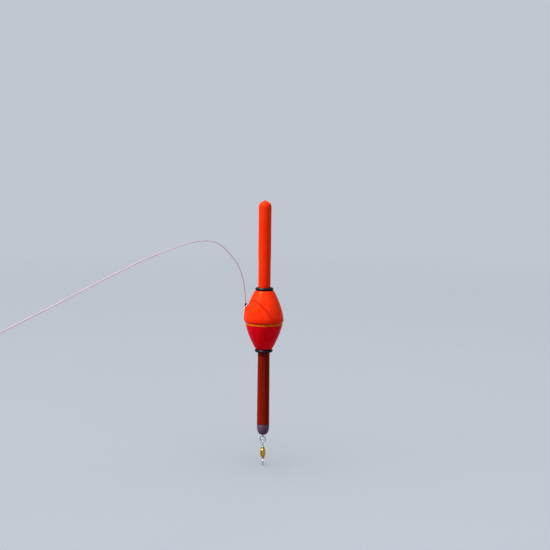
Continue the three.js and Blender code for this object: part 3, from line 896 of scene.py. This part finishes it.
def make_band():
    """The amber ring: a rounded rim between the shells, on the sleeve that joins them."""
    radius = band_box.radius
    top, bottom = BAND_RIM["top"], BAND_RIM["bottom"]
    sleeve, bore = BAND_RIM["sleeve"], BAND_RIM["bore"]
    profile = rounded(
        [
            (bore, band_box.bottom, 0),
            (sleeve, band_box.bottom, 0.1),
            (sleeve, bottom, 0),
            (radius - 0.06, bottom, 0.05),
            (radius, bottom + 0.16, 0.1),
            (radius + 0.015, (top + bottom) / 2, 0.2),
            (radius, top - 0.16, 0.1),
            (radius - 0.06, top, 0.05),
            (sleeve, top, 0),
            (sleeve, band_box.top, 0.1),
            (bore, band_box.top, 0),
        ]
    )
    shape = Shape()
    shape.turned(profile, segments=200)
    return shape.build("body_band", "float_body", ["waterline_band"], looks["band"])


def make_lower_shell():
    """The hollow lower shell, open at the joint and where the core tube and keel go in."""
    bottom, top = lower_box.bottom, lower_box.top
    edge = outline_radius(LOWER_OUTLINE, bottom + 0.3)
    neck_bore, neck_radius = LOWER_NECK["bore"], LOWER_NECK["radius"]
    outside = [(neck_bore, bottom)]
    outside += rounded([(neck_bore, bottom, 0), (edge - 0.2, bottom, 0.2), (edge, bottom + 0.3, 0)])[1:]
    outside += [(outline_radius(LOWER_OUTLINE, z), z) for z in heights(bottom + 0.45, top - 0.2, 56)]
    lip = outline_radius(LOWER_OUTLINE, top)
    outside += rounded([(lip + 0.01, top - 0.15, 0), (lip, top, 0.1), (JOINT_BORE, top, 0)])
    inside = [(JOINT_BORE, band_box.bottom - 0.1)]
    inside += [(outline_radius(LOWER_OUTLINE, z) - WALL, z) for z in heights(*LOWER_INSIDE, 12)]
    inside += [(neck_radius, z) for z in (LOWER_INSIDE[1], LOWER_NECK["top"])]
    inside.append((neck_bore, LOWER_NECK["top"]))

    def relief(angle, radius, height):
        return seam(angle, radius) if bottom + 0.5 < height < top - 0.2 else 0.0

    shape = Shape()
    shape.skin([*shell_rings(outside, relief), *shell_rings(inside)], closed=True)
    look = looks["lower"]
    return shape.build("body_lower", "float_body", ["lower_shell"], look, sharp=50)


def make_core_tube():
    """The carbon tube, chamfered at both ends."""
    bore = CORE_BORE
    radius = core_box.radius
    profile = rounded(
        [
            (bore, core_box.bottom, 0.06),
            (radius, core_box.bottom, 0.1),
            (radius, core_box.top, 0.1),
            (bore, core_box.top, 0.06),
        ]
    )
    shape = Shape()
    shape.turned(profile)
    return shape.build("core", "float_body", ["core_tube"], looks["carbon"])


# ---------------------------------------------------------------- keel

KEEL_TOP = -12.24
KEEL_BORE = 2.0
KEEL_SPIGOT = 1.94
KEEL_SEAT = {"bottom": -12.8, "taper_end": -13.4}
FOOT_TIP_RADIUS = 0.95
FOOT_NOSE = 3.4
EYE_HOLE = 0.38


def make_keel():
    """The hollow keel: a straight tapered tube with a spigot that goes up into the lower shell."""
    bottom, top = keel_box.bottom, KEEL_TOP
    spigot, seat = KEEL_SPIGOT, CORE_SEAT
    top_radius = cad_radius("keel_tube", top)
    bottom_radius = keel_box.radius
    wide = bottom_radius - 0.01
    outside = rounded([(KEEL_BORE, bottom, 0), (bottom_radius, bottom, 0.1), (wide, bottom + 1, 0)])
    for i in range(1, 14):
        share = i / 14
        outside.append((wide + (top_radius - wide) * share, bottom + 1 + (top - 1 - bottom) * share))
    outside += rounded([(top_radius, top - 0.4, 0), (top_radius, top, 0.12), (spigot, top, 0)])
    inside = rounded(
        [
            (spigot, keel_box.top, 0.15),
            (seat, keel_box.top, 0.05),
            (seat, KEEL_SEAT["bottom"], 0),
            (KEEL_BORE, KEEL_SEAT["taper_end"], 0),
        ]
    )

    def place(angle, radius, height):
        skin = radius > spigot + 0.2 and bottom + 0.3 < height < top - 0.3
        out = radius + (seam(angle, radius) * STEM_SEAM if skin else 0.0)
        return (out * math.cos(angle), out * math.sin(angle), height)

    shape = Shape()
    shape.turned([*outside, *inside], segments=STEM_SEGMENTS, place=place)
    return shape.build("keel", "float_body", ["keel_tube"], looks["keel"])


def make_ballast():
    """A brass slug with chamfered ends and a turned groove."""
    radius, bottom, top = ballast_box.radius, ballast_box.bottom, ballast_box.top
    middle = ballast_box.middle
    profile = rounded(
        [
            (0, bottom, 0),
            (radius - 0.2, bottom, 0.05),
            (radius, bottom + 0.2, 0.05),
            (radius, middle - 0.25, 0.04),
            (radius - 0.15, middle, 0.1),
            (radius, middle + 0.25, 0.04),
            (radius, top - 0.2, 0.05),
            (radius - 0.2, top, 0.05),
            (0, top, 0),
        ]
    )
    shape = Shape()
    shape.turned(profile, closed=False)
    return shape.build("ballast", "float_body", ["keel_ballast"], looks["brass"])


def make_foot():
    """The foot that closes the keel: a spigot, a rim with a groove and a rounded nose round the eye."""
    top, tip = foot_box.top, foot_box.bottom
    seat = keel_box.bottom - 0.04
    shoulder = tip + FOOT_NOSE
    radius, spigot, bore = foot_box.radius, KEEL_SPIGOT, EYE_HOLE
    nose = []
    for i in range(1, 17):
        angle = math.pi / 2 * i / 16
        width = FOOT_TIP_RADIUS + (radius - FOOT_TIP_RADIUS) * math.sin(angle)
        nose.append((width, shoulder - (shoulder - tip) * math.cos(angle)))
    mouth = rounded(
        [(bore, tip + 0.3, 0), (bore + 0.12, tip, 0.08), (FOOT_TIP_RADIUS, tip, 0.15), (*nose[0], 0)]
    )
    rim = rounded(
        [
            (radius, shoulder, 0),
            (radius, seat - 0.62, 0.04),
            (radius - 0.1, seat - 0.5, 0.06),
            (radius, seat - 0.38, 0.04),
            (radius, seat, 0.1),
            (spigot, seat, 0),
            (spigot, top, 0.2),
            (0, top, 0),
        ]
    )
    hole_end = bottom_eye_box.top + 0.1
    profile = [(0, hole_end), (bore, hole_end), *mouth, *nose[1:-1], *rim]
    shape = Shape()
    shape.turned(profile, segments=128, closed=False)
    return shape.build("keel_foot", "float_body", ["keel_plug"], looks["foot"])


# ---------------------------------------------------------------- wire eyes and swivel


def eye_path(loop_radius, shank_end):
    """A wire eye in its own plane: the shank comes up the first axis to the loop round the origin."""
    neck = -1.3 * loop_radius
    path = [(shank_end + (neck - shank_end) * i / 5, 0.0, 0.0) for i in range(6)]
    for i in range(17):
        angle = math.radians(152 - (152 + 168) * i / 16)
        path.append((loop_radius * math.cos(angle), loop_radius * math.sin(angle), 0.0))
    return catmull(path, 5)


def plane_at(centre, first, second):
    """The transform of a flat piece whose own first and second axes become these directions."""
    first, second = Vector(first), Vector(second)
    turn = Matrix((first, second, first.cross(second))).transposed().to_4x4()
    return Matrix.Translation(centre) @ turn


BOTTOM_EYE = {"loop": 1.1, "wire": 0.3}
SWIVEL = {"loop": 1.1, "wire": 0.28, "head": 0.6, "head_length": 0.45}
WRAP = {"radius": 0.13, "turns": 2.2, "length": 0.52, "points": 40}
BARREL = {"neck": 0.75, "hole": 0.38, "chamber": 0.8, "wall": 0.75}


def make_side_eye():
    """The side eye's wire, with the head that holds its shank inside the shell."""
    loop, wire, head_length = SIDE_EYE["loop"], SIDE_EYE["wire"], SIDE_EYE["head_length"]
    centre = Vector((side_eye_box.left + loop + wire, 0, side_eye_box.middle))
    shank_end = centre.x - side_eye_box.right + head_length
    shape = Shape()
    shape.wire(eye_path(loop, shank_end), wire)
    shape.head(shank_end - head_length, SIDE_EYE["head"], head_length, 0.08, 32)
    plane = plane_at(centre, (-1, 0, 0), (0, 1, 0))
    look = looks["steel"]
    return shape.build("eye_side", "float_body", ["side_eye"], look, plane, sharp=50)


def make_bottom_eye():
    """The wire eye in the foot."""
    loop, wire = BOTTOM_EYE["loop"], BOTTOM_EYE["wire"]
    centre = Vector((0, 0, bottom_eye_box.bottom + loop + wire))
    shape = Shape()
    shape.wire(eye_path(loop, centre.z - bottom_eye_box.top), wire)
    plane = plane_at(centre, (0, 0, -1), (1, 0, 0))
    look = looks["steel"]
    return shape.build("eye_bottom", "float_body", ["bottom_eye"], look, plane, sharp=50)


def make_swivel_loop(name, body, node, centre_height, head_height, up):
    """A swivel's end: a loop, a fine wire wrapped round its shank, and the head in the barrel."""
    reach = abs(head_height - centre_height)
    shape = Shape()
    shape.wire(eye_path(SWIVEL["loop"], -reach), SWIVEL["wire"])
    wrap_radius = SWIVEL["wire"] + WRAP["radius"]
    start = -SWIVEL["loop"] - 0.36
    wrap = []
    for i in range(WRAP["points"] + 1):
        share = i / WRAP["points"]
        angle = 2 * math.pi * WRAP["turns"] * share
        along = start - WRAP["length"] * share
        wrap.append((along, wrap_radius * math.cos(angle), wrap_radius * math.sin(angle)))
    shape.wire(wrap, WRAP["radius"], sides=10)
    shape.head(-reach, SWIVEL["head"], SWIVEL["head_length"], 0.12, 36)
    plane = plane_at(Vector((0, 0, centre_height)), (0, 0, up), (0, 1, 0))
    return shape.build(name, body, [node], looks["steel"], plane, sharp=50)


def make_barrel():
    """The waisted brass barrel, rolled in at both ends over the heads it keeps."""
    half = (barrel_box.top - barrel_box.bottom) / 2
    neck, hole, chamber, wall = BARREL["neck"], BARREL["hole"], BARREL["chamber"], BARREL["wall"]
    radius = barrel_box.radius
    end_to_middle = [
        (neck - 0.1, half, 0.06),
        (neck + 0.02, half - 0.1, 0.05),
        (neck + 0.1, half - 0.42, 0.05),
        (neck - 0.02, half - 0.52, 0.06),
        (neck + 0.14, half - 0.64, 0.06),
        (radius, half - 1.0, 0.2),
        (radius, 0.5, 0.1),
        (radius - 0.07, 0.38, 0.06),
    ]
    upper = end_to_middle[::-1]
    lower = [(r, -z, fillet) for r, z, fillet in end_to_middle]
    inside = [
        (hole, half, 0.08),
        (hole, half - wall, 0),
        (chamber, half - wall, 0),
        (chamber, wall - half, 0),
        (hole, wall - half, 0),
        (hole, -half, 0.08),
    ]
    profile = [(r, z + barrel_box.middle) for r, z in rounded([*lower, *upper, *inside])]
    shape = Shape()
    shape.turned(profile, segments=64)
    nodes = ["swivel_barrel"]
    return shape.build("swivel_body", "swivel_barrel", nodes, looks["brass"], sharp=45)


make_antenna()
make_rubber_ring("antenna_ring", "antenna", "antenna_o_ring", antenna_ring_box)
make_socket()
make_upper_shell()
make_band()
make_lower_shell()
make_core_tube()
make_rubber_ring("keel_o_ring", "float_body", "keel_ring", keel_ring_box)
make_keel()
make_ballast()
make_foot()
make_side_eye()
make_bottom_eye()
loop_reach = SWIVEL["loop"] + SWIVEL["wire"]
make_swivel_loop(
    "swivel_loop_top",
    "swivel_top",
    "swivel_top_loop",
    top_loop_box.top - loop_reach,
    top_loop_box.bottom,
    1,
)
make_barrel()
make_swivel_loop(
    "swivel_loop_bottom",
    "swivel_bottom",
    "swivel_bottom_loop",
    bottom_loop_box.bottom + loop_reach,
    bottom_loop_box.top,
    -1,
)


# ---------------------------------------------------------------- stage and light

FLOOR_GAP = 0.0003
FLOOR_RADIUS = 3.0
FLOOR_RINGS = 24
FLOOR_FADE = 1400.0  # millimetres from the float to where the floor is gone
WORLD_COLOUR = (0.37, 0.39, 0.42)
KEY_AZIMUTH = 58.0  # degrees to the left of the viewer
KEY_ELEVATION = 54.0
KEY_STRENGTH = 2.15
KEY_COLOUR = (1.0, 1.12, 0.98)
KEY_ANGLE = 0.5
OVERHEAD = {"energy": 4.0, "azimuth": 20.0, "elevation": 78.0, "distance": 1.6, "size": 1.8}


def make_floor():
    """A pale round floor that fades into the background at its edge."""
    shape = Shape()
    angles = [2 * math.pi * i / ROUND for i in range(ROUND)]
    rows = [[(0, 0, 0)]]
    for i in range(1, FLOOR_RINGS + 1):
        size = FLOOR_RADIUS / MM * (i / FLOOR_RINGS) ** 2
        rows.append([(size * math.cos(a), size * math.sin(a), 0) for a in angles])
    shape.skin(rows)
    mesh = bpy.data.meshes.new("floor")
    mesh.from_pydata([p * MM for p in shape.points], [], [list(reversed(f)) for f in shape.faces])
    look = Look("floor_pale", **{"Roughness": 0.85, "Specular_IOR_Level": 0.2})
    colour = look.mix(look.noise(0.004, 3), (0.76, 0.775, 0.79), (0.8, 0.815, 0.83))
    edge = look.spread(look.away_from((0, 0, 0)), 0.0, FLOOR_FADE, 1.0, 0.0)
    look.links.new(edge, look.shader.inputs["Alpha"])
    mesh.materials.append(look.finish(colour))
    floor = bpy.data.objects.new("floor", mesh)
    floor.location.z = cad_bounds[0].z - FLOOR_GAP
    bpy.context.scene.collection.objects.link(floor)
    floor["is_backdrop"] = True


def light(name, kind, energy, azimuth, elevation, distance=1.0, size=0.0, colour=(1, 1, 1)):
    """A light at an azimuth to the viewer's left and an elevation, aimed at the float."""
    data = bpy.data.lights.new(name, kind)
    data.energy = energy
    data.color = colour
    if kind == "SUN":
        data.angle = math.radians(size)
    else:
        data.shape = "DISK"
        data.size = size
    lamp = bpy.data.objects.new(name, data)
    a, e = math.radians(azimuth), math.radians(elevation)
    way = Vector((-math.sin(a) * math.cos(e), -math.cos(a) * math.cos(e), math.sin(e)))
    lamp.location = way * distance
    lamp.rotation_mode = "QUATERNION"
    lamp.rotation_quaternion = way.to_track_quat("Z", "Y")
    bpy.context.scene.collection.objects.link(lamp)
    return lamp


def make_world():
    """An even pale background."""
    world = bpy.data.worlds.new("world")
    world.use_nodes = True
    background = world.node_tree.nodes["Background"]
    background.inputs["Color"].default_value = (*WORLD_COLOUR, 1)
    background.inputs["Strength"].default_value = 1.0
    bpy.context.scene.world = world


make_floor()
key = light("key", "SUN", KEY_STRENGTH, KEY_AZIMUTH, KEY_ELEVATION, size=KEY_ANGLE, colour=KEY_COLOUR)
light("overhead", "AREA", **OVERHEAD)
make_world()

lit = bpy.data.collections.new("lit_by_key")
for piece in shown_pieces():
    lit.objects.link(piece)
key.light_linking.receiver_collection = lit

bpy.context.scene.view_settings.view_transform = "Standard"
bpy.context.scene.view_settings.look = "Very High Contrast"
